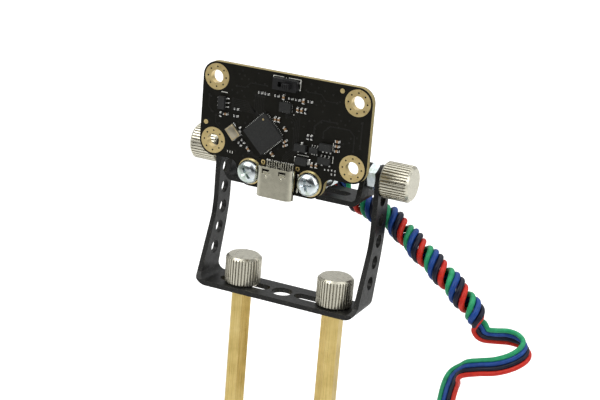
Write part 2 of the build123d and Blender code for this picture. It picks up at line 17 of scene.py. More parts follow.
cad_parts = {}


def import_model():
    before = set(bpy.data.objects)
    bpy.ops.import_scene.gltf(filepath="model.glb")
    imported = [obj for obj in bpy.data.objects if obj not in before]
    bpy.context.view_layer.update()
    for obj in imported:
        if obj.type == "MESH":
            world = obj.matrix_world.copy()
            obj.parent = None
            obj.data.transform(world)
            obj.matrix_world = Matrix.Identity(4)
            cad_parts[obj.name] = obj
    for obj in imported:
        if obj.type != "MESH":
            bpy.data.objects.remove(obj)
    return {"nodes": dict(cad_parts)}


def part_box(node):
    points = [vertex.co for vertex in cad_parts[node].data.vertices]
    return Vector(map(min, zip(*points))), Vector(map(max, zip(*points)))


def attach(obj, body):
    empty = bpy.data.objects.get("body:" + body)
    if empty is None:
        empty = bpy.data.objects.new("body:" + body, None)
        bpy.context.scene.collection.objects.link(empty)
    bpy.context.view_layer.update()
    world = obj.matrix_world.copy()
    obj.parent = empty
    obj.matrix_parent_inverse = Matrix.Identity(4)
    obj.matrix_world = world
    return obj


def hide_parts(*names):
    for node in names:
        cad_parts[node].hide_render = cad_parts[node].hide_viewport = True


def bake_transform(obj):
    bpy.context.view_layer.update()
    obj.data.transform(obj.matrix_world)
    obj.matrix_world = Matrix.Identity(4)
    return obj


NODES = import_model()["nodes"]
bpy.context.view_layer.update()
MM = 0.001
random.seed(7)          # the shared generator; the vias draw from one of their own


def box_mm(name):
    """The lowest and highest corner of a CAD piece, as (x, y, z) in mm."""
    return tuple((corner.x / MM, corner.y / MM, corner.z / MM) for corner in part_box(name))


# Driving places. Places on the board are (across, up), counted from the middle of its holes.
(BOARD_X0, FACE_Y, _), (BOARD_X1, BACK_Y, BOARD_TOP) = box_mm("sensor_board")
BOARD_X = (BOARD_X0 + BOARD_X1) / 2
BOARD_Z = BOARD_TOP - 11.0
CONTROLLER = (-4.65, -3.55)
CRYSTAL = (-12.4, -4.6)
CRYSTAL_TURN = -48                              # degrees
CAMERA_FORWARD = (-0.39029, 0.86944, -0.30289)


# ---------------------------------------------------------------- node helpers
def feed(tree, node, key, value):
    """Gives an input its value, or links it to the output socket that feeds it."""
    if isinstance(value, bpy.types.NodeSocket):
        tree.links.new(value, node.inputs[key])
    else:
        node.inputs[key].default_value = value


def add_node(tree, kind, inputs=None, **settings):
    node = tree.nodes.new("ShaderNode" + kind)
    for key, value in settings.items():
        setattr(node, key, value)
    for key, value in (inputs or {}).items():
        feed(tree, node, key, value)
    return node


SURFACE_INPUTS = {
    "base": "Base Color", "metallic": "Metallic", "rough": "Roughness",
    "spec": "Specular IOR Level", "coat": "Coat Weight", "coat_rough": "Coat Roughness",
    "sub": "Subsurface Weight", "sub_scale": "Subsurface Scale", "aniso": "Anisotropic",
    "glow": "Emission Strength",
}


class Shader:
    """A Principled material and short ways to add nodes. Texture scales are per metre."""

    def __init__(self, name):
        self.material = bpy.data.materials.new(name)
        self.material.use_nodes = True
        self.tree = self.material.node_tree
        self.tree.nodes.clear()
        output = self.node("OutputMaterial")
        self.principled = self.node("BsdfPrincipled")
        feed(self.tree, output, 0, self.principled.outputs[0])
        self.coords = self.node("TexCoord")

    def node(self, kind, inputs=None, **settings):
        return add_node(self.tree, kind, inputs, **settings)

    def noise(self, scale, detail=3.0, rough=0.55, stretch=None):
        """Noise in object space; stretch scales the three axes apart."""
        vector = self.coords.outputs["Object"]
        if stretch:
            vector = self.node("Mapping", {"Vector": vector, "Scale": stretch}).outputs[0]
        return self.node("TexNoise", {"Scale": scale, "Detail": detail, "Roughness": rough,
                                      "Vector": vector}).outputs["Fac"]

    def flecks(self, scale, channel, above):
        """1 in the few cells whose random colour channel lies above a limit."""
        cells = self.node("TexVoronoi", {"Scale": scale, "Vector": self.coords.outputs["Object"]})
        split = self.node("SeparateColor", {0: cells.outputs["Color"]})
        return self.math("GREATER_THAN", split.outputs[channel], above)

    def ramp(self, value, stops):
        node = self.node("ValToRGB", {0: value})
        elements = node.color_ramp.elements
        while len(elements) < len(stops):
            elements.new(0.5)
        for element, (position, colour) in zip(elements, stops):
            element.position = position
            element.color = (*colour, 1.0)
        return node.outputs[0]

    def remap(self, value, span, to=(0.0, 1.0)):
        return self.node("MapRange", {"From Min": span[0], "From Max": span[1], "To Min": to[0],
                                      "To Max": to[1], "Value": value}).outputs[0]

    def math(self, operation, first, second=None, clamp=False):
        inputs = {0: first} if second is None else {0: first, 1: second}
        return self.node("Math", inputs, operation=operation, use_clamp=clamp).outputs[0]

    def times(self, value, factor, clamp=False):
        return self.math("MULTIPLY", value, factor, clamp)

    def plus(self, first, second):
        return self.math("ADD", first, second)

    def mix(self, factor, first, second):
        """Colour mix; each colour is an (r, g, b) or a socket."""
        first, second = ((*colour, 1.0) if isinstance(colour, tuple) else colour
                         for colour in (first, second))
        return self.node("Mix", {0: factor, 6: first, 7: second}, data_type="RGBA").outputs[2]

    def rounded_normal(self, radius):
        return self.node("Bevel", {"Radius": radius * MM}, samples=6).outputs[0]

    def bump(self, height, strength, distance, bevel=None):
        """Bump, over edges rounded to the bevel radius when one is given."""
        inputs = {"Strength": strength, "Distance": distance * MM, "Height": height}
        if bevel:
            inputs["Normal"] = self.rounded_normal(bevel)
        feed(self.tree, self.principled, "Normal", self.node("Bump", inputs).outputs[0])

    def edge_mask(self, radius, span):
        """1 along sharp edges, 0 on flat faces."""
        rounded = self.rounded_normal(radius)
        true_normal = self.node("NewGeometry").outputs["True Normal"]
        dot = self.node("VectorMath", {0: rounded, 1: true_normal}, operation="DOT_PRODUCT")
        return self.remap(self.math("SUBTRACT", 1.0, dot.outputs["Value"]), span)

    def shade_mask(self, distance, span=(0.35, 0.85)):
        """1 down in narrow grooves and inside corners, 0 on open faces; the mask for painted shade
        there.
        """
        node = self.node("AmbientOcclusion", {"Distance": distance * MM},
                         samples=16, only_local=True)
        return self.remap(node.outputs["AO"], span, to=(1.0, 0.0))

    def surface(self, **inputs):
        for key, value in inputs.items():
            feed(self.tree, self.principled, SURFACE_INPUTS[key], value)


# ---------------------------------------------------------------- materials
def powder_coat():
    """Black powder coat: fine grain, pale sparks, worn edges and painted shade in its corners."""
    mat = Shader("powder_coat_black")
    grain = mat.noise(scale=5200, detail=3, rough=0.6)
    mottle = mat.noise(scale=1100, detail=4, rough=0.6)
    broad = mat.noise(scale=120, detail=3, rough=0.5)
    base = mat.ramp(mat.plus(mat.times(mottle, 0.6), mat.times(broad, 0.4)),
                    [(0.32, (0.0048, 0.0050, 0.0046)), (0.55, (0.0088, 0.0090, 0.0082)),
                     (0.75, (0.0165, 0.0165, 0.014))])
    edge = mat.edge_mask(radius=0.16, span=(0.03, 0.30))
    patches = mat.remap(mat.noise(scale=900, detail=5, rough=0.7), span=(0.42, 0.62))
    wear = mat.times(edge, patches, clamp=True)
    spark = mat.flecks(scale=6200, channel=0, above=0.965)
    base = mat.mix(mat.times(spark, 0.28), base, (0.17, 0.155, 0.12))
    base = mat.mix(mat.times(wear, 0.55), base, (0.16, 0.14, 0.105))
    rough = mat.remap(mottle, span=(0.3, 0.7), to=(0.36, 0.52))
    # painted shade: inside corners, slots and recesses are darkened towards black
    corners = mat.shade_mask(distance=1.6, span=(0.3, 0.8))
    base = mat.mix(mat.times(corners, 0.6), base, (0.004, 0.004, 0.004))
    mat.surface(base=base, rough=rough, metallic=0.0, spec=0.30)
    mat.bump(mat.plus(grain, mat.times(mottle, 0.5)), strength=0.30, distance=0.03, bevel=0.16)
    return mat.material


def plated(name, dark, light, rough, bevel=0.10, blotch=None, corner_shade=None, bump=0.18):
    """Plated metal; blotch is the colour of its patches, and the colour given for grooves is
    painted shade laid in its corners and grooves.
    """
    mat = Shader(name)
    mottle = mat.noise(scale=900, detail=4, rough=0.6)
    grain = mat.noise(scale=7000, detail=3, rough=0.6)
    base = mat.ramp(mottle, [(0.3, dark), (0.7, light)])
    if blotch:
        patches = mat.noise(scale=420, detail=3, rough=0.55)
        base = mat.mix(mat.remap(patches, span=(0.48, 0.62)), base, blotch)
    # painted shade: the metal is darkened down in grooves and inside corners
    if corner_shade:
        base = mat.mix(mat.times(mat.shade_mask(distance=0.5), 0.85), base, corner_shade)
    mat.surface(base=base, metallic=1.0, rough=mat.remap(mottle, span=(0.3, 0.7), to=rough))
    mat.bump(mat.plus(grain, mottle), strength=bump, distance=0.012, bevel=bevel)
    return mat.material


def drawn_brass():
    """Brass with fine lines along Z and a painted highlight along its edges."""
    mat = Shader("drawn_brass")
    lines = mat.noise(scale=1.0, detail=4, rough=0.6, stretch=(5200, 5200, 90))
    mottle = mat.noise(scale=260, detail=4, rough=0.6)
    base = mat.ramp(mat.plus(mat.times(lines, 0.55), mat.times(mottle, 0.45)),
                    [(0.36, (0.47, 0.345, 0.115)), (0.5, (0.62, 0.47, 0.175)),
                     (0.64, (0.72, 0.57, 0.25))])
    # painted highlight: sharp edges are lightened towards pale brass
    edge = mat.edge_mask(radius=0.14, span=(0.02, 0.2))
    base = mat.mix(mat.times(edge, 0.5), base, (0.90, 0.78, 0.48))
    rough = mat.remap(lines, span=(0.3, 0.7), to=(0.24, 0.42))
    mat.surface(base=base, metallic=1.0, rough=rough, aniso=0.35)
    mat.bump(lines, strength=0.22, distance=0.012, bevel=0.12)
    return mat.material


def solder_mask():
    """Matte black mask on the two faces, glass-epoxy laminate on the edges."""
    mat = Shader("black_solder_mask")
    normal = mat.node("SeparateXYZ", {0: mat.coords.outputs["Normal"]})
    on_edge = mat.math("LESS_THAN", mat.math("ABSOLUTE", normal.outputs["Y"]), 0.6)
    mottle = mat.noise(scale=700, detail=4, rough=0.6)
    broad = mat.noise(scale=70, detail=3, rough=0.5)
    mask = mat.ramp(mat.plus(mat.times(mottle, 0.5), mat.times(broad, 0.5)),
                    [(0.35, (0.0052, 0.0050, 0.0034)), (0.65, (0.0088, 0.0084, 0.0060))])
    # laminate: thin glass layers, with a dark line near each face
    place = mat.node("SeparateXYZ", {0: mat.coords.outputs["Object"]})
    depth = mat.remap(place.outputs["Y"], span=(FACE_Y * MM, BACK_Y * MM))
    fibre = mat.noise(scale=1.0, detail=3, rough=0.6, stretch=(700, 9000, 700))
    laminate = mat.ramp(fibre, [(0.3, (0.20, 0.155, 0.062)), (0.55, (0.33, 0.27, 0.125)),
                                (0.75, (0.46, 0.40, 0.21))])
    black, white = (0, 0, 0), (1, 1, 1)
    rim = mat.ramp(depth, [(0.0, white), (0.05, white), (0.09, black), (0.91, black),
                           (0.95, white), (1.0, white)])
    laminate = mat.mix(rim, laminate, (0.02, 0.019, 0.015))
    mask_rough = mat.remap(mottle, span=(0.3, 0.7), to=(0.42, 0.5))
    mat.surface(base=mat.mix(on_edge, mask, laminate),
                rough=mat.mix(on_edge, mask_rough, (0.7, 0.7, 0.7)), spec=0.12)
    # the glass weave shows faintly through the mask
    wave_x, wave_z = (mat.node("TexWave", {"Scale": 0.34 / MM, "Distortion": 1.2,
                                           "Vector": mat.coords.outputs["Object"]},
                               bands_direction=axis).outputs["Fac"] for axis in "XZ")
    weave = mat.plus(wave_x, wave_z)
    grain = mat.noise(scale=3500, detail=3, rough=0.6)
    mat.bump(mat.plus(mat.times(weave, 0.35), grain), strength=0.12, distance=0.02, bevel=0.06)
    return mat.material


def moulded(name, dark, light, rough, scale=1800, bump=0.2, spec=0.5, bevel=0.06, fleck=None,
            sub=0.0):
    """Moulded plastic, ceramic or ink; fleck is the colour of scattered specks."""
    mat = Shader(name)
    mottle = mat.noise(scale=scale, detail=4, rough=0.6)
    base = mat.ramp(mottle, [(0.32, dark), (0.68, light)])
    if fleck:
        specks = mat.flecks(scale=9000, channel=1, above=0.93)
        base = mat.mix(mat.times(specks, 0.5), base, fleck)
    sheen = mat.noise(scale=scale * 0.4, detail=3)
    mat.surface(base=base, rough=mat.remap(sheen, span=(0.3, 0.7), to=rough), spec=spec)
    if sub:
        mat.surface(sub=sub, sub_scale=0.0006)
    mat.bump(mat.noise(scale=scale * 3.2, detail=3), strength=bump, distance=0.012, bevel=bevel)
    return mat.material


def coated_glass():
    """Dark glass whose colour turns violet at grazing angles, a painted reflection of its coating,
    and a little dust.
    """
    mat = Shader("coated_glass")
    # painted reflection: the coating's violet sheen is laid into the base colour by view angle
    facing = mat.node("LayerWeight", {"Blend": 0.45}).outputs["Facing"]
    base = mat.mix(facing, (0.012, 0.012, 0.022), (0.06, 0.03, 0.12))
    dust = mat.noise(scale=1600, detail=4, rough=0.7)
    mat.surface(base=base, rough=mat.remap(dust, span=(0.4, 0.75), to=(0.03, 0.12)),
                spec=0.8, coat=1.0, coat_rough=0.03)
    mat.bump(mat.noise(scale=400, detail=2), strength=0.03, distance=0.01)
    return mat.material


def insulation(colour, dark, light):
    """Glossy cable insulation with dull patches and a slightly waxy skin."""
    mat = Shader("insulation_" + colour)
    base = mat.ramp(mat.noise(scale=800, detail=3, rough=0.55), [(0.3, dark), (0.7, light)])
    patches = mat.noise(scale=300, detail=4, rough=0.6)
    mat.surface(base=base, rough=mat.remap(patches, span=(0.3, 0.7), to=(0.34, 0.48)),
                spec=0.28, sub=0.04, sub_scale=0.0004)
    grain = mat.plus(mat.noise(scale=3200, detail=3), mat.noise(scale=500, detail=3))
    mat.bump(grain, strength=0.12, distance=0.02)
    return mat.material


# keyed by the names of the materials on the CAD pieces
MATERIALS = {
    "powder_coat": powder_coat(),
    # the groove colours of nickel and shell_metal are painted shade for their grooves and corners
    "nickel": plated("satin_nickel", dark=(0.58, 0.555, 0.455), light=(0.69, 0.665, 0.555),
                     rough=(0.25, 0.34), bevel=0.09, bump=0.04, corner_shade=(0.20, 0.18, 0.135)),
    "zinc": plated("bright_zinc", dark=(0.62, 0.70, 0.74), light=(0.88, 0.93, 0.94),
                   rough=(0.15, 0.28), blotch=(0.56, 0.64, 0.58)),
    "brass": drawn_brass(),
    "pcb": solder_mask(),
    "gold": plated("immersion_gold", dark=(0.70, 0.535, 0.24), light=(0.83, 0.665, 0.33),
                   rough=(0.26, 0.40), bevel=0.03, bump=0.25),
    "shell_metal": plated("satin_shell", dark=(0.40, 0.385, 0.305), light=(0.52, 0.50, 0.40),
                          rough=(0.16, 0.27), bevel=0.08, corner_shade=(0.16, 0.15, 0.125)),
    "black_plastic": moulded("black_moulding", dark=(0.006, 0.006, 0.0065),
                             light=(0.012, 0.012, 0.0125), rough=(0.34, 0.5), spec=0.35),
    "chip_epoxy": moulded("mould_compound", dark=(0.014, 0.0145, 0.0145),
                          light=(0.024, 0.0245, 0.0235), rough=(0.42, 0.58), scale=2600,
                          bump=0.3, spec=0.3, fleck=(0.042, 0.042, 0.038)),
    "ceramic": moulded("ceramic_tan", dark=(0.22, 0.125, 0.055), light=(0.34, 0.21, 0.10),
                       rough=(0.3, 0.5)),
    "can_metal": plated("can_lid", dark=(0.40, 0.36, 0.27), light=(0.52, 0.475, 0.37),
                        rough=(0.34, 0.5), bevel=0.05),
    "glass": coated_glass(),
    "white_plastic": moulded("off_white_nylon", dark=(0.60, 0.57, 0.48),
                             light=(0.74, 0.71, 0.62), rough=(0.35, 0.5), scale=900,
                             bump=0.12, sub=0.12),
    "tin": plated("solder_tin", dark=(0.62, 0.62, 0.60), light=(0.86, 0.86, 0.83),
                  rough=(0.18, 0.34), bevel=0.03, bump=0.3),
}
LID_GOLD = plated("lid_rim_gold", dark=(0.58, 0.45, 0.22), light=(0.72, 0.58, 0.32),
                  rough=(0.3, 0.42), bevel=0.03)
RESISTOR_TOP = moulded("resistor_glaze", dark=(0.010, 0.010, 0.012),
                       light=(0.022, 0.022, 0.024), rough=(0.22, 0.36))
WHITE_INK = moulded("white_ink", dark=(0.60, 0.60, 0.55), light=(0.78, 0.78, 0.72),
                    rough=(0.55, 0.7), scale=3800, bump=0.4, bevel=0.01)
MASKED_COPPER = moulded("masked_copper", dark=(0.0095, 0.0092, 0.0080),
                        light=(0.0135, 0.0130, 0.0112), rough=(0.40, 0.5), bump=0.15,
                        spec=0.18, bevel=0.02)
TENTED_VIA = moulded("tented_via", dark=(0.0105, 0.0102, 0.0088),
                     light=(0.016, 0.0155, 0.0132), rough=(0.36, 0.46), spec=0.22, bevel=0.02)
CAPACITOR_TAN = moulded("capacitor_tan", dark=(0.20, 0.105, 0.045),
                        light=(0.34, 0.20, 0.095), rough=(0.30, 0.45), bevel=0.04)
PLATED_LEAD = plated("plated_lead", dark=(0.50, 0.50, 0.48), light=(0.74, 0.74, 0.71),
                     rough=(0.22, 0.36), bevel=0.03)
# the four wires of the lead, in their order across the flat ribbon
WIRES = [(colour, insulation(colour, dark, light)) for colour, dark, light in (
    ("green", (0.010, 0.235, 0.095), (0.024, 0.345, 0.150)),
    ("blue", (0.006, 0.040, 0.205), (0.012, 0.070, 0.300)),
    ("black", (0.0025, 0.0035, 0.014), (0.006, 0.008, 0.026)),
    ("red", (0.44, 0.012, 0.006), (0.62, 0.030, 0.014)),
)]


# ---------------------------------------------------------------- CAD pieces
def split_edges(piece, degrees):
    piece.modifiers.new("edges", "EDGE_SPLIT").split_angle = math.radians(degrees)


def smooth_piece(piece):
    """Shades a CAD piece smooth: split corners are welded and only sharp edges split again."""
    for polygon in piece.data.polygons:
        polygon.use_smooth = True
    for name in ("custom_normal", "sharp_edge"):
        attribute = piece.data.attributes.get(name)
        if attribute:
            piece.data.attributes.remove(attribute)
    piece.modifiers.new("weld", "WELD").merge_threshold = 2e-6      # metres
    split_edges(piece, 32)


for piece in NODES.values():
    slots = piece.data.materials
    key = slots[0].name.split(".")[0] if slots else "powder_coat"
    slots.clear()
    slots.append(MATERIALS.get(key, MATERIALS["powder_coat"]))
    smooth_piece(piece)


# ---------------------------------------------------------------- mesh building
def turned(right, up, degrees):
    """(right, up) turned counter-clockwise as seen from -Y."""
    angle = math.radians(degrees)
    cos, sin = math.cos(angle), math.sin(angle)
    return right * cos - up * sin, right * sin + up * cos


def on_board(across, up):
    return BOARD_X + across, BOARD_Z + up


def above_board(across, up, rise):
    """A point that stands off the component face by rise."""
    return BOARD_X + across, FACE_Y - rise, BOARD_Z + up


# corners of a block: 0-3 round its -Y end, 4-7 round its +Y end
BLOCK_FACES = ((0, 1, 2, 3), (7, 6, 5, 4), (0, 4, 5, 1), (1, 5, 6, 2), (2, 6, 7, 3), (3, 7, 4, 0))


class Pieces:
    """Small shapes gathered into one mesh that rides on the cradle."""

    def __init__(self):
        self.mesh = bmesh.new()

    def vert(self, x, y, z):
        return self.mesh.verts.new((x * MM, y * MM, z * MM))

    def band(self, first, second):
        """Quads between two closed loops of vertices."""
        for i in range(len(first)):
            j = (i + 1) % len(first)
            self.mesh.faces.new((first[i], first[j], second[j], second[i]))

    def block(self, centre, size, turn=0.0, chamfer=0.0, slot=0, taper=1.0):
        """A block turned about Y; taper scales its -Y end."""
        x, y, z = centre
        width, depth, height = size
        verts = []
        for end, scale in ((-1, taper), (1, 1.0)):
            for side_x, side_z in ((-1, -1), (1, -1), (1, 1), (-1, 1)):
                right, up = turned(side_x * width / 2 * scale, side_z * height / 2 * scale, turn)
                verts.append(self.vert(x + right, y + end * depth / 2, z + up))
        faces = [self.mesh.faces.new([verts[i] for i in corners]) for corners in BLOCK_FACES]
        for face in faces:
            face.material_index = slot
        if chamfer:
            edges = list({edge for face in faces for edge in face.edges})
            bevelled = bmesh.ops.bevel(self.mesh, geom=edges, offset=chamfer * MM, segments=2,
                                       profile=0.5, affect="EDGES")
            for face in bevelled["faces"]:
                face.material_index = slot

    def disc(self, centre, radius, y_top, y_base, segments, bore=0.0):
        """A disc or ring round an (x, z) centre, its axis along Y."""
        rings = [(radius, y_base), (radius, y_top)]
        if bore:
            rings += [(bore, y_top), (bore, y_base)]
        turns = [2 * math.pi * i / segments for i in range(segments)]
        loops = [[self.vert(centre[0] + reach * math.cos(angle), y,
                            centre[1] + reach * math.sin(angle)) for angle in turns]
                 for reach, y in rings]
        for first, second in zip(loops, loops[1:]):
            self.band(first, second)
        if bore:
            self.band(loops[-1], loops[0])
        else:
            self.mesh.faces.new(loops[0][::-1])
            self.mesh.faces.new(loops[-1])

    def strip(self, points, width, y_top, y_base):
        """A flat line through (x, z) points, mitred at its corners."""
        points = [Vector(point) for point in points]
        ways = [(after - before).normalized() for before, after in zip(points, points[1:])]
        rows = []
        for point, before, after in zip(points, ways[:1] + ways, ways + ways[-1:]):
            along = (before + after).normalized()
            half = width / 2 / max(0.4, along.dot(before))
            offset = Vector((-along.y, along.x)) * half
            left, right = point + offset, point - offset
            rows.append([self.vert(edge[0], y, edge[1]) for edge, y in
                         ((left, y_base), (left, y_top), (right, y_top), (right, y_base))])
        for first, second in zip(rows, rows[1:]):
            self.band(first, second)
        self.mesh.faces.new(rows[0])
        self.mesh.faces.new(rows[-1][::-1])

    def finish(self, name, materials, slot, smooth=False):
        bmesh.ops.recalc_face_normals(self.mesh, faces=self.mesh.faces)
        data = bpy.data.meshes.new(name)
        self.mesh.to_mesh(data)
        self.mesh.free()
        for material in materials:
            data.materials.append(material)
        piece = bpy.data.objects.new(name, data)
        bpy.context.scene.collection.objects.link(piece)
        if smooth:
            for polygon in data.polygons:
                polygon.use_smooth = True
            split_edges(piece, 35)
        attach(piece, "cradle")
        return piece


# ---------------------------------------------------------------- solder and chip leads
JOINT_SUNK = 0.02       # how far a joint reaches into the board

# across, up, width, height, step towards the chip body (across, up)
PINS = [
    (4.95, -3.92, 0.62, 0.44, 0, -1), (4.15, -6.05, 0.5, 0.42, 0, 1),
    (6.05, -6.05, 0.5, 0.42, 0, 1),
    (7.5, -4.08, 0.26, 0.42, 0, -1), (8.15, -4.08, 0.26, 0.42, 0, -1),
    (8.8, -4.08, 0.26, 0.42, 0, -1),
    (7.6, -5.98, 0.26, 0.42, 0, 1), (8.2, -5.98, 0.26, 0.42, 0, 1),
    (8.85, -5.98, 0.26, 0.42, 0, 1),
    (10.2, -4.92, 0.4, 0.5, 0, 1), (11.1, -4.92, 0.4, 0.5, 0, 1), (12.05, -4.92, 0.4, 0.5, 0, 1),
    (9.95, -5.85, 0.4, 0.42, 0, -1), (10.85, -5.85, 0.4, 0.42, 0, -1),
    (11.8, -5.85, 0.4, 0.42, 0, -1),
    (10.15, -7.95, 0.46, 0.46, 0, 1), (12.05, -7.95, 0.46, 0.46, 0, 1),
    (-14.3, 2.85, 0.62, 0.36, -1, 0), (-14.3, 1.85, 0.62, 0.36, -1, 0),
    (-14.3, 0.9, 0.62, 0.36, -1, 0),
    (-16.8, 2.75, 0.42, 0.34, 1, 0), (-16.8, 1.8, 0.42, 0.34, 1, 0),
    (-16.8, 0.85, 0.42, 0.34, 1, 0),
]
# across, up
BARE_PADS = [(11.0, -8.95), (11.85, -8.9), (12.7, -8.8), (13.5, -8.85), (12.7, -9.75),
             (13.55, -9.7)]


def solder(joints, across, up, width, height, thick, turn=0.0):
    """A solder joint with a heaped, narrower top."""
    joints.block(above_board(across, up, (thick - JOINT_SUNK) / 2),
                 (width, thick + JOINT_SUNK, height), turn,
                 chamfer=min(width, height, thick) * 0.3, taper=0.72)


def solder_receptacle(joints):
    """The row of contacts, with two wide ones at each end, and the shell's four anchors."""
    count, first, row_length = 16, -3.36, 6.59
    for k in range(count):
        width = 0.30 if k in (0, 1, 14, 15) else 0.15
        solder(joints, first + row_length * k / (count - 1), -9.42, width, 0.5, thick=0.12)
    for side in (-1, 1):
        solder(joints, side * 4.62, -11.9, 0.55, 1.2, thick=0.2)
        solder(joints, side * 4.62, -15.2, 0.5, 1.3, thick=0.2)


def solder_pins(joints, leads):
    """Joint, foot and riser of each chip lead; narrow across the lead, long along it."""
    for across, up, width, height, step_x, step_z in PINS:
        solder(joints, across, up, width, height, thick=0.09)
        foot_w, foot_h = (width * 0.62, height * 0.9) if step_z else (width * 0.9, height * 0.62)
        leads.block(above_board(across + step_x * 0.06, up + step_z * 0.06, 0.14),
                    (foot_w, 0.13, foot_h), chamfer=0.03)
        leads.block(above_board(across + step_x * (width * 0.5 + 0.02),
                                up + step_z * (height * 0.5 + 0.02), 0.33),
                    (0.16 if step_x else foot_w, 0.36, 0.16 if step_z else foot_h), chamfer=0.03)


def solder_diode(joints, leads):
    for across, inward in ((3.62, 0.16), (6.98, -0.16)):
        solder(joints, across, -8.0, 0.66, 1.35, thick=0.12)
        leads.block(above_board(across + inward, -8.0, 0.28), (0.42, 0.42, 1.15), chamfer=0.05)


def solder_controller(joints):
    """A row of pads showing past each side of the turned controller."""
    half_body, count, pitch = 3.5, 14, 0.44
    for turn in (45, 135, 225, 315):
        for k in range(count):
            right, rise = turned(half_body + 0.13, (k - (count - 1) / 2) * pitch, turn)
            solder(joints, CONTROLLER[0] + right, CONTROLLER[1] + rise, 0.42, 0.22,
                   thick=0.13, turn=turn)


def solder_flat_pack(joints):
    """Short pads on the four sides of the flat pack below the switch."""
    for k in range(5):
        for across in (1.82, -1.22):
            solder(joints, across, 2.72 + 0.4 * k, 0.26, 0.17, thick=0.08)
    for k in range(4):
        for up in (4.72, 2.28):
            solder(joints, -0.45 + 0.5 * k, up, 0.19, 0.26, thick=0.08)


def solder_crystal(joints):
    for side_x in (-1, 1):
        for side_z in (-1, 1):
            right, rise = turned(side_x * 1.18, side_z * 0.92, CRYSTAL_TURN)
            solder(joints, CRYSTAL[0] + right, CRYSTAL[1] + rise, 1.0, 0.86,
                   thick=0.10, turn=CRYSTAL_TURN)


def solder_switch(joints):
    """Two tabs on each side of the switch and three joints below it."""
    for across in (-3.05, 3.25):
        for up in (9.5, 8.0):
            solder(joints, across, up, 0.5, 0.5, thick=0.12)
    for across in (-2.35, -0.85, 1.95):
        solder(joints, across, 7.32, 0.5, 0.55, thick=0.12)


# ---------------------------------------------------------------- chip passives
# across, up, turn in degrees, kind: "r" resistor, "c" capacitor
PASSIVES = [
    (-6.2, 5.7, 0, "r"), (-4.55, 5.7, 0, "r"), (-2.1, 5.7, 0, "r"), (-0.4, 5.7, 90, "c"),
    (1.35, 5.7, 0, "r"), (3.1, 5.7, 0, "r"), (4.5, 5.6, 90, "c"), (6.15, 5.8, 0, "r"),
    (3.28, 3.45, 90, "c"), (4.23, 3.45, 90, "c"), (5.17, 3.45, 90, "r"),
    (-15.95, -1.05, 90, "r"), (-14.65, -0.75, 0, "c"), (-12.0, 0.86, 0, "r"),
    (-12.0, -0.78, 0, "r"), (13.55, -1.95, 0, "c"), (13.55, -3.05, 0, "c"),
    (13.55, -4.15, 0, "c"), (7.8, -8.5, 90, "c"), (8.9, -8.45, 90, "c"), (6.3, -2.3, 90, "r"),
    (7.2, -2.25, 90, "r"), (-2.05, 0.3, 90, "c"), (-1.15, 0.3, 90, "c"),
    (0.55, -1.5, -50, "c"), (0.85, -4.35, -140, "c"), (0.85, -5.3, -155, "c"),
    (-8.35, -7.85, -50, "c"), (-2.2, -7.9, -45, "c"), (-10.7, -3.7, 90, "r"),
    (-9.75, -6.35, -42, "r"), (-10.5, -7.1, -42, "r"),
]
PASSIVE_TALL = {"c": 0.47, "r": 0.34}
PASSIVE_SLOT = {"c": 0, "r": 1}


def place_passives(joints, bodies, ends):
    """Each body has a plated end and a solder joint on both sides."""
    end_reach, joint_reach = 0.375, 0.52
    for across, up, turn, kind in PASSIVES:
        tall = PASSIVE_TALL[kind]
        bodies.block(above_board(across, up, 0.03 + tall / 2), (0.56, tall - 0.03, 0.47), turn,
                     chamfer=0.03, slot=PASSIVE_SLOT[kind])
        for side in (-1, 1):
            right, rise = turned(side * end_reach, 0, turn)
            ends.block(above_board(across + right, up + rise, 0.02 + tall / 2),
                       (0.25, tall + 0.02, 0.5), turn, chamfer=0.045)
            right, rise = turned(side * joint_reach, 0, turn)
            joints.block(above_board(across + right, up + rise, 0.05), (0.34, 0.13, 0.54), turn,
                         chamfer=0.035, taper=0.8)


def soldered_parts():
    joints, leads, bodies, ends = Pieces(), Pieces(), Pieces(), Pieces()
    solder_receptacle(joints)
    solder_pins(joints, leads)
    solder_diode(joints, leads)
    solder_controller(joints)
    solder_flat_pack(joints)
    for across, up in BARE_PADS:
        solder(joints, across, up, 0.36, 0.48, thick=0.10)
    solder_crystal(joints)
    solder_switch(joints)
    place_passives(joints, bodies, ends)
    joints.finish("solder_joints", [MATERIALS["tin"]], "tin", smooth=True)
    leads.finish("chip_leads", [PLATED_LEAD], "tin", smooth=True)
    body = bodies.finish("passive_bodies", [CAPACITOR_TAN, RESISTOR_TOP], "ceramic")
    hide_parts("chip_passives")
    ends.finish("passive_ends", [MATERIALS["tin"]], "tin", smooth=True)


# ---------------------------------------------------------------- gold, shell tabs, crystal lid
def fiducials():
    """Two round marks, and a ring on each side at the receptacle."""
    gold = Pieces()
    for across, up in ((13.6, 9.6), (-19.65, -3.5)):
        gold.disc(on_board(across, up), 0.55, FACE_Y - 0.03, FACE_Y + 0.01, segments=28)
    for side in (-1, 1):
        gold.disc(on_board(side * 4.35, -10.12), 0.52, FACE_Y - 0.05, FACE_Y + 0.01,
                  segments=24, bore=0.26)
    gold.finish("fiducials", [MATERIALS["gold"]], "gold", smooth=True)


def pin_one_mark():
    mark = Pieces()
    chip_top = box_mm("controller_chip")[0][1]
    mark.disc(on_board(-4.75, -0.12), 0.24, chip_top - 0.012, chip_top + 0.02, segments=20)
    mark.finish("pin_one_mark", [LID_GOLD], "gold", smooth=True)


def shell_tabs():
    """Sprung tabs in the receptacle's two windows."""
    tabs = Pieces()
    (x_left, y_face, _), (x_right, _, z_top) = box_mm("usb_shell")
    for side in (-1, 1):
        tabs.block(((x_left + x_right) / 2 + side * 2.05, y_face + 0.48, z_top - 1.30),
                   (1.55, 0.12, 0.50), chamfer=0.03)
    tabs.finish("shell_tabs", [MATERIALS["shell_metal"]], "shell_metal")


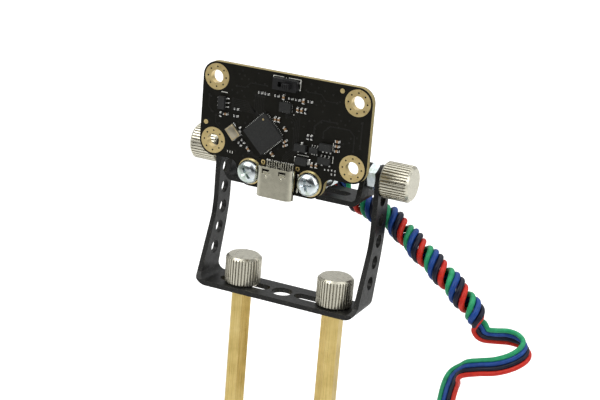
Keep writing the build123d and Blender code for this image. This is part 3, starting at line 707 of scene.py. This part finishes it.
def crystal_lid():
    """Four bars round the top of the crystal's can, and a plate between them."""
    lid = Pieces()
    can_top = box_mm("crystal_can")[0][1]
    x, z = on_board(*CRYSTAL)
    # across, up, width, height
    for across, up, width, height in ((0, 1.06, 2.9, 0.14), (0, -1.06, 2.9, 0.14),
                                      (1.4, 0, 0.14, 2.0), (-1.4, 0, 0.14, 2.0)):
        right, rise = turned(across, up, CRYSTAL_TURN)
        lid.block((x + right, can_top - 0.012, z + rise), (width, 0.05, height), CRYSTAL_TURN,
                  chamfer=0.012)
    lid.block((x, can_top - 0.008, z), (2.6, 0.03, 1.9), CRYSTAL_TURN, chamfer=0.01, slot=1)
    lid.finish("crystal_lid", [LID_GOLD, MATERIALS["can_metal"]], "can_metal", smooth=True)


# ---------------------------------------------------------------- printed lines
# each line is a run of (across, up)
INK_LINES = [
    [(-3.32, 9.9), (-3.32, 10.25), (-0.75, 10.25)],
    [(0.35, 10.25), (3.45, 10.25), (3.45, 7.8)],
    [(-16.2, 4.2), (-14.6, 4.2)],
    [(12.55, -2.5), (12.55, -4.4)],
    [(12.75, -5.6), (12.75, -7.2)],
    [(3.95, -6.78), (6.9, -6.78)],
    [(2.35, 1.95), (2.35, 2.2)],
]


def printed_lines():
    """Lines, three short upright dashes at the lower left, and a dot at the top."""
    ink = Pieces()
    layer = FACE_Y - 0.022, FACE_Y + 0.01
    dashes = [[(-13.6 + 0.62 * k, -9.75), (-13.6 + 0.62 * k, -9.2)] for k in range(3)]
    for lines, width in ((INK_LINES, 0.16), (dashes, 0.17)):
        for line in lines:
            ink.strip([on_board(*point) for point in line], width, *layer)
    ink.disc(on_board(-0.2, 10.05), 0.13, *layer, segments=14)
    ink.finish("printed_lines", [WHITE_INK], "white_plastic")


# ---------------------------------------------------------------- copper under the mask
COPPER_SUNK = 0.006
FACE_TRACK = (FACE_Y - 0.018, FACE_Y + COPPER_SUNK)     # y of top and base
BACK_TRACK = (BACK_Y + 0.018, BACK_Y - COPPER_SUNK)
VIA_BORE = 0.09

# single tracks on the component face: width, run of (across, up)
TRACKS = [
    (0.3, [(7.6, -1.1), (7.6, 0.4), (9.3, 2.1), (13.0, 2.1)]),
    (0.3, [(9.9, -1.7), (9.9, -0.4), (11.4, 1.1), (16.2, 1.1), (17.4, -0.1), (17.4, -3.6)]),
    (0.2, [(-17.2, -1.5), (-17.2, -3.2), (-15.4, -5.0), (-15.4, -6.1)]),
    (0.2, [(-12.4, 6.2), (-10.2, 6.2), (-8.9, 7.5), (-4.8, 7.5)]),
    (0.2, [(5.4, 7.9), (8.6, 7.9), (9.9, 6.6), (12.6, 6.6)]),
    (0.2, [(-19.2, 3.0), (-19.2, 0.3), (-18.1, -0.8)]),
    (0.35, [(19.0, 3.3), (19.0, -2.6)]),
]
# areas without loose vias: across from and to, up from and to
VIA_FREE = [
    (3.0, 14.2, -10, -1.2), (-17.8, -11.0, -1.8, 4.6), (-4.6, 4.6, 6.6, 11), (-7.5, 7.2, 2.0, 6.6),
    (-5.2, 5.2, -11, -8.6), (-14.8, -8.6, -8.6, -2.4), (-3, 2, -6.4, 1.6),
]


def bundled_tracks():
    """Tracks that run side by side, as (width, points)."""
    for k in range(7):                  # from the left chips down to the controller
        step = 0.42 * k
        top = 3.1 - 0.40 * k
        yield 0.16, [(-13.1, top), (-9.4 + step * 0.35, top),
                     (-7.0 + step * 0.95, top - 2.35 + step * 0.55)]
    for k in range(6):                  # from the controller up to the row of resistors
        step = 0.44 * k
        start = -6.95 + step
        yield 0.15, [(start, -0.75 + step), (start - 0.55, -0.2 + step), (start - 0.55, 4.9)]
    for k in range(4):                  # round the controller's right side to the receptacle
        step = 0.42 * k
        yield 0.17, [(0.55 + step * 0.2, 1.2 + step), (1.9 + step, 1.2 + step),
                     (2.65 + step, 0.45 + step), (2.65 + step, -5.7 - step * 0.4),
                     (0.5 + step * 0.85, -7.85 - step * 0.4), (0.5 + step * 0.85, -8.7)]
    for k in range(3):                  # lower left, towards the receptacle
        step = 0.45 * k
        yield 0.16, [(-7.4 - step, -8.6 - step * 0.3), (-6.4 - step * 0.2, -9.2 - step * 0.3),
                     (-5.3, -9.2 - step * 0.3)]


def via_spots(count=70, spacing=1.15):
    """Random places clear of the corners, the parts and each other."""
    draw = random.Random(11)
    spots = []
    while len(spots) < count:
        across, up = draw.uniform(-19.6, 19.6), draw.uniform(-10.0, 10.0)
        in_corner = abs(across) > 13.6 and abs(up) > 3.6
        at_controller = abs(across - CONTROLLER[0]) + abs(up - CONTROLLER[1]) < 6.2
        in_area = any(x0 < across < x1 and z0 < up < z1 for x0, x1, z0, z1 in VIA_FREE)
        crowded = any(math.hypot(across - x, up - z) < spacing for x, z in spots)
        if not (in_corner or at_controller or in_area or crowded):
            spots.append((across, up))
    return spots


def far_tracks():
    """Tracks on the far face: four long ones and four short ones, as points."""
    for start, up, end in ((-18.5, 5.1, -9.3), (-18.5, 4.6, -9.3),
                           (9.3, 5.1, 18.5), (9.3, 4.6, 18.5)):
        yield [(start, up - 1.0), (start + 1.0, up), (end, up)]
    for k in range(4):
        across = 0.125 + 1.25 * k
        yield [(across, -4.9), (across, -4.0 - 0.2 * k), (across - 1.2, -2.9 - 0.2 * k)]


def board_copper():
    copper, vias = Pieces(), Pieces()
    for width, points in [*bundled_tracks(), *TRACKS]:
        copper.strip([on_board(*point) for point in points], width, *FACE_TRACK)
        for end in (points[0], points[-1]):
            vias.disc(on_board(*end), 0.26, FACE_Y - 0.03, FACE_Y + COPPER_SUNK,
                      segments=16, bore=VIA_BORE)
    for spot in via_spots():
        for y_top, y_base in ((FACE_Y - 0.022, FACE_Y + COPPER_SUNK),
                              (BACK_Y + 0.022, BACK_Y - COPPER_SUNK)):
            vias.disc(on_board(*spot), 0.23, y_top, y_base, segments=14, bore=VIA_BORE)
    for points in far_tracks():
        copper.strip([on_board(*point) for point in points], 0.2, *BACK_TRACK)
    copper.finish("board_tracks", [MASKED_COPPER], "pcb")
    vias.finish("board_vias", [TENTED_VIA], "pcb", smooth=True)


# ---------------------------------------------------------------- far face
def far_side_joints(housing):
    """Solder at the lead socket, and above and below the ranging module."""
    joints = Pieces()
    (x0, _, z0), (x1, _, z1) = box_mm("lead_socket")
    middle_x, middle_z = (x0 + x1) / 2, (z0 + z1) / 2
    pin_pitch = 1.25
    for k in range(4):
        joints.block((middle_x + (k - 1.5) * pin_pitch, BACK_Y + 0.06, z1 + 0.22),
                     (0.5, 0.16, 0.62), chamfer=0.05)
    for side in (-1, 1):
        joints.block((middle_x + side * 3.9, BACK_Y + 0.08, middle_z - 0.6), (0.8, 0.2, 1.9),
                     chamfer=0.06)
    (x0, _, z0), (x1, _, z1) = housing
    inset, count = 1.4, 9
    for k in range(count):
        x = x0 + inset + (x1 - x0 - 2 * inset) * k / (count - 1)
        for z in (z0 - 0.14, z1 + 0.14):
            joints.block((x, BACK_Y + 0.05, z), (0.55, 0.14, 0.5), chamfer=0.04)
    joints.finish("far_side_joints", [MATERIALS["tin"]], "tin", smooth=True)


def window_surround(housing):
    """Two thin ribs along the module's housing and a frame round its emitter window."""
    ribs = Pieces()
    (x0, _, z0), (x1, y_front, z1) = housing
    for z in (z0 + 0.45, z1 - 0.45):
        ribs.strip([(x0 + 0.7, z), (x1 - 0.7, z)], 0.12, y_front + 0.03, y_front - 0.01)
    (x0, _, z0), (x1, _, z1) = box_mm("emitter_window")
    margin = 0.25
    x0, x1, z0, z1 = x0 - margin, x1 + margin, z0 - margin, z1 + margin
    corners = [(x0, z0), (x1, z0), (x1, z1), (x0, z1)]
    for start, end in zip(corners, corners[1:] + corners[:1]):
        ribs.strip([start, end], 0.22, y_front + 0.12, y_front - 0.01)
    ribs.finish("window_surround", [MATERIALS["black_plastic"]], "black_plastic")


soldered_parts()
fiducials()
pin_one_mark()
shell_tabs()
crystal_lid()
printed_lines()
board_copper()
HOUSING = box_mm("sensor_housing")
far_side_joints(HOUSING)
window_surround(HOUSING)

# ---------------------------------------------------------------- the lead
LEAD_ORIGIN = np.array([-1.4, 5.5, 67.0])
# middle line of the four wires from the plug on: x, y, z from LEAD_ORIGIN
LEAD_PATH = [
    (2.0, -5.4, 4.7), (2.05, -3.2, 4.65), (2.5, 0.2, 4.0), (3.8, 4.3, 0.9), (6.2, 7.0, -4.2),
    (9.8, 7.8, -8.2), (15.0, 7.4, -10.2), (20.4, 6.8, -11.2), (24.4, 5.7, -13.3),
    (28.9, 4.1, -15.7), (34.8, 2.5, -19.0), (40.8, 1.3, -23.0), (45.2, 0.8, -26.8),
    (46.9, 0.9, -30.0), (48.0, 1.6, -32.0), (50.4, 2.8, -32.3), (53.3, 4.2, -32.3),
    (55.9, 4.4, -32.7), (57.9, 3.0, -33.2), (58.2, 0.6, -34.1), (56.6, -0.8, -35.6),
    (52.9, -1.2, -37.7), (48.5, -1.0, -39.2), (45.3, -0.5, -40.6), (43.1, 0.6, -42.9),
    (41.7, 1.7, -46.0), (40.8, 2.6, -50.0), (40.4, 3.0, -54.5), (40.4, 3.0, -60.4),
]
LOOP_MIDDLE = np.array([50.0, 1.6, 0.0])    # the ribbon leans in towards this upright axis
LEAN = 0.62
FLAT_WIRE_RADIUS = 0.565
COIL_WIRE_RADIUS = 0.70
FLAT_GAP = 1.07             # wire to wire across the ribbon
COIL_FROM_X = 9.5           # where along LEAD_PATH the coil begins and ends
COIL_TO_X = 46.6
COIL_RADIUS = 2.12
OUTER_WIRE_REACH = -0.22    # added to COIL_RADIUS; green and red sit nearer the middle
INNER_WIRE_REACH = 0.13     # and blue and black farther out, which rounds each turn's back
COIL_WIRE_SPACING = 1.56    # along the coil
COIL_PITCH = 6.95
PITCH_GROWTH = 0.45         # from one end of the coil to the other
COIL_PHASE = 4.62           # length after the coil's start where green faces the camera
LINE_STEP = 0.22
WIRE_SEGMENTS = 14


def catmull_rom(points, per=40):
    """A centripetal curve through all the points."""
    def between(first, second, knot_a, knot_b, at):
        return ((knot_b - at) / (knot_b - knot_a) * first
                + (at - knot_a) / (knot_b - knot_a) * second)

    points = [np.array(point, float) for point in points]
    points = [2 * points[0] - points[1], *points, 2 * points[-1] - points[-2]]
    curve = []
    for p0, p1, p2, p3 in zip(points, points[1:], points[2:], points[3:]):
        t0 = 0.0
        t1 = t0 + np.linalg.norm(p1 - p0) ** 0.5
        t2 = t1 + np.linalg.norm(p2 - p1) ** 0.5
        t3 = t2 + np.linalg.norm(p3 - p2) ** 0.5
        for k in range(per):
            at = t1 + (t2 - t1) * k / per
            a1 = between(p0, p1, t0, t1, at)
            a2 = between(p1, p2, t1, t2, at)
            a3 = between(p2, p3, t2, t3, at)
            b1 = between(a1, a2, t0, t2, at)
            b2 = between(a2, a3, t1, t3, at)
            curve.append(between(b1, b2, t1, t2, at))
    curve.append(points[-2])
    return np.array(curve)


def resampled(points, step):
    """Evenly spaced points along a line, and their lengths along it."""
    length = np.r_[0, np.cumsum(np.linalg.norm(np.diff(points, axis=0), axis=1))]
    even = np.linspace(0, length[-1], int(length[-1] / step) + 1)
    return np.stack([np.interp(even, length, points[:, k]) for k in range(3)], 1), even


def relax(rows, times):
    """Smooths rows in place; the two ends stay."""
    for _ in range(times):
        rows[1:-1] = 0.5 * rows[1:-1] + 0.25 * (rows[:-2] + rows[2:])


def smoothstep(value, low, high):
    t = np.clip((value - low) / (high - low), 0, 1)
    return t * t * (3 - 2 * t)


def units(rows, least=0.0):
    """Rows scaled to length one; shorter rows than least are divided by least."""
    return rows / np.maximum(np.linalg.norm(rows, axis=1, keepdims=True), least)


def off_axis(rows, axes):
    """Rows without their part along the axes."""
    return rows - (rows * axes).sum(1, keepdims=True) * axes


def ribbon_up(line, along, at_plug, at_end):
    """The direction across the flat ribbon from red to green.

    Green is on the left (-X) at both ends and uppermost between them.
    """
    lean = (LOOP_MIDDLE - line) * np.array([1, 1, 0])
    upward = np.array([0.0, 0.0, 1.0]) + LEAN * units(lean, least=2.0)
    at_plug, at_end = at_plug[:, None], at_end[:, None]
    wanted = upward * (1 - at_plug) * (1 - at_end) + np.array([-1.0, 0, 0]) * (at_plug + at_end)
    up = units(off_axis(wanted, along), least=1e-6)
    relax(up, times=20)
    return units(off_axis(up, along))


def tube(middle, radius):
    """Vertices and faces of a tube of varying radius, both in mm."""
    along = units(np.gradient(middle, axis=0))
    # parallel transport keeps the tube free of twists
    normal = np.zeros_like(middle)
    first = np.cross(along[0], [0, 0, 1.0])
    normal[0] = first / np.linalg.norm(first)
    for k in range(1, len(middle)):
        carried = normal[k - 1] - along[k] * (normal[k - 1] @ along[k])
        normal[k] = carried / np.linalg.norm(carried)
    binormal = np.cross(along, normal)
    angle = np.linspace(0, 2 * math.pi, WIRE_SEGMENTS, endpoint=False)[None, :, None]
    spokes = np.cos(angle) * normal[:, None, :] + np.sin(angle) * binormal[:, None, :]
    rings = middle[:, None, :] + radius[:, None, None] * spokes
    last = (len(middle) - 1) * WIRE_SEGMENTS
    faces = []
    for base in range(0, last, WIRE_SEGMENTS):
        after = base + WIRE_SEGMENTS
        for j in range(WIRE_SEGMENTS):
            k = (j + 1) % WIRE_SEGMENTS
            faces.append((base + j, base + k, after + k, after + j))
    faces.append(tuple(range(WIRE_SEGMENTS))[::-1])
    faces.append(tuple(last + j for j in range(WIRE_SEGMENTS)))
    return rings.reshape(-1, 3), faces


def add_wire(colour, material, middle, radius):
    verts, faces = tube(middle, radius)
    data = bpy.data.meshes.new("lead_wire_" + colour)
    data.from_pydata((verts * MM).tolist(), [], faces)
    data.materials.append(material)
    for polygon in data.polygons:
        polygon.use_smooth = len(polygon.vertices) == 4
    wire = bpy.data.objects.new("lead_wire_" + colour, data)
    bpy.context.scene.collection.objects.link(wire)
    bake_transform(wire)
    return wire


def lead():
    """Four wires laid round one line: flat at both ends, wound between."""
    line, arc = resampled(catmull_rom(LEAD_PATH), LINE_STEP)
    relax(line, times=5)
    along = units(np.gradient(line, axis=0))
    coil_start, coil_end = (arc[int(np.argmax(line[:, 0] >= x))] for x in (COIL_FROM_X, COIL_TO_X))
    coil = (smoothstep(arc, coil_start - 4.0, coil_start + 4.0)
            * (1 - smoothstep(arc, coil_end - 2.2, coil_end + 2.0)))
    pitch = COIL_PITCH + PITCH_GROWTH * np.clip((arc - coil_start) / (coil_end - coil_start), 0, 1)
    turns = np.r_[0, np.cumsum(0.5 * (1 / pitch[1:] + 1 / pitch[:-1]) * np.diff(arc))]
    turns -= np.interp(coil_start + COIL_PHASE, arc, turns)
    # the side towards the camera is the coil's front, which fixes its phase
    front = units(off_axis(-np.array(CAMERA_FORWARD), along))
    side = np.cross(along, front)
    at_plug = 1 - smoothstep(arc, 7.0, 13.0)
    at_end = smoothstep(arc, arc[-1] - 22.0, arc[-1] - 12.0)
    up = ribbon_up(line, along, at_plug, at_end)
    # the wires spread a little at the plug and at the far end
    gap = (FLAT_GAP + 0.20 * at_plug * (1 - smoothstep(arc, 1.0, 5.0))
           + 0.18 * smoothstep(arc, arc[-1] - 4.0, arc[-1] - 0.5))
    radius = FLAT_WIRE_RADIUS + (COIL_WIRE_RADIUS - FLAT_WIRE_RADIUS) * coil
    narrowing = 1 - 0.16 * smoothstep(arc, coil_end - 9.0, coil_end)
    for i, (colour, material) in enumerate(WIRES):
        order = 1.5 - i
        phase = 2 * math.pi * (turns - i * COIL_WIRE_SPACING / pitch)[:, None]
        extra = OUTER_WIRE_REACH if abs(order) > 1 else INNER_WIRE_REACH
        reach = (COIL_RADIUS + extra) * narrowing
        helix = reach[:, None] * (np.cos(phase) * front + np.sin(phase) * side)
        flat = up * (order * gap)[:, None]
        middle = line + helix * coil[:, None] + flat * (1 - coil)[:, None] + LEAD_ORIGIN
        wire = add_wire(colour, material, middle, radius)
        if i == 0:
            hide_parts("sensor_lead")


lead()


# ---------------------------------------------------------------- stage (metres)
def floor_material():
    """Pale to the camera; towards -Y it throws less light back on the object."""
    mat = Shader("pale_floor")
    to_camera = mat.node("LightPath").outputs["Is Camera Ray"]
    place = mat.node("SeparateXYZ", {0: mat.node("NewGeometry").outputs["Position"]})
    bright = mat.remap(place.outputs["Y"], span=(-0.26, -0.02), to=(0.42, 1.0))
    bright = mat.math("MAXIMUM", bright, to_camera)
    pale = mat.ramp(mat.noise(scale=9, detail=3),
                    [(0.3, (0.86, 0.86, 0.855)), (0.7, (0.90, 0.90, 0.895))])
    mat.surface(base=mat.mix(bright, (0.0, 0.0, 0.0), pale), rough=0.75, spec=0.2)
    mat.bump(mat.noise(scale=900, detail=3), strength=0.05, distance=0.05)
    # this glow is seen by the camera alone
    feed(mat.tree, mat.principled, "Emission Color", (1, 1, 1, 1))
    mat.surface(glow=mat.times(to_camera, 0.40))
    return mat.material


def floor():
    grid = bmesh.new()
    bmesh.ops.create_grid(grid, x_segments=2, y_segments=2, size=3.0)
    data = bpy.data.meshes.new("floor")
    grid.to_mesh(data)
    grid.free()
    piece = bpy.data.objects.new("floor", data)
    piece.location = (0, 0, -0.00005)
    bpy.context.scene.collection.objects.link(piece)
    data.materials.append(floor_material())


def studio_world():
    """Light that grows towards one side of the sky; the camera sees an even white."""
    world = bpy.data.worlds.new("studio")
    bpy.context.scene.world = world
    world.use_nodes = True
    tree = world.node_tree
    tree.nodes.clear()
    bright_side = (-0.28, 0.72, 0.63)
    seen_white = 1.9
    strength = 0.55
    output = add_node(tree, "OutputWorld")
    direction = add_node(tree, "TexCoord").outputs["Generated"]
    toward = add_node(tree, "VectorMath", {0: direction, 1: bright_side},
                      operation="DOT_PRODUCT").outputs["Value"]
    sky = add_node(tree, "MapRange", {"From Min": -0.65, "From Max": 0.55, "To Min": 0.06,
                                      "To Max": 0.98, "Value": toward},
                   interpolation_type="SMOOTHSTEP").outputs[0]
    to_camera = add_node(tree, "LightPath").outputs["Is Camera Ray"]
    white = add_node(tree, "Math", {0: to_camera, 1: seen_white}, operation="MULTIPLY")
    seen = add_node(tree, "Math", {0: sky, 1: white.outputs[0]}, operation="MAXIMUM")
    scaled = add_node(tree, "Math", {0: seen.outputs[0], 1: strength}, operation="MULTIPLY")
    background = add_node(tree, "Background", {0: (0.98, 0.99, 1.0, 1), 1: scaled.outputs[0]})
    feed(tree, output, 0, background.outputs[0])


def softbox(name, location, size, power, colour=(1, 1, 1)):
    """A rectangular light aimed at the middle of the object."""
    target = (0.01, 0.0, 0.055)
    light = bpy.data.lights.new(name, "AREA")
    light.shape = "RECTANGLE"
    light.size, light.size_y = size
    light.energy = power
    light.color = colour
    lamp = bpy.data.objects.new(name, light)
    lamp.location = location
    lamp.rotation_mode = "QUATERNION"
    lamp.rotation_quaternion = (Vector(target) - Vector(location)).to_track_quat("-Z", "Y")
    bpy.context.scene.collection.objects.link(lamp)


def camera():
    """In front of the object, to its right and above it."""
    data = bpy.data.cameras.new("camera")
    view = bpy.data.objects.new("camera", data)
    bpy.context.scene.collection.objects.link(view)
    data.sensor_width = 36.0
    data.lens = 94.23
    data.clip_start = 0.01
    data.clip_end = 20
    right = (0.89885, 0.43105, 0.07910)
    up = (-0.19934, 0.24138, 0.94974)
    pose = Matrix((right, up, -Vector(CAMERA_FORWARD))).transposed().to_4x4()
    pose.translation = (0.14283, -0.31537, 0.16937)
    view.matrix_world = pose
    bpy.context.scene.camera = view


floor()
studio_world()
softbox("key", (-0.30, -0.45, 0.62), size=(0.55, 0.55), power=3.5, colour=(1.0, 0.99, 0.97))
softbox("fill", (0.55, -0.20, 0.38), size=(0.45, 0.60), power=2.0, colour=(0.98, 0.99, 1.0))
softbox("top", (0.05, 0.25, 0.75), size=(1.3, 1.1), power=3.7)
camera()
bpy.context.scene.view_settings.view_transform = "Standard"
bpy.context.scene.view_settings.exposure = 0.0
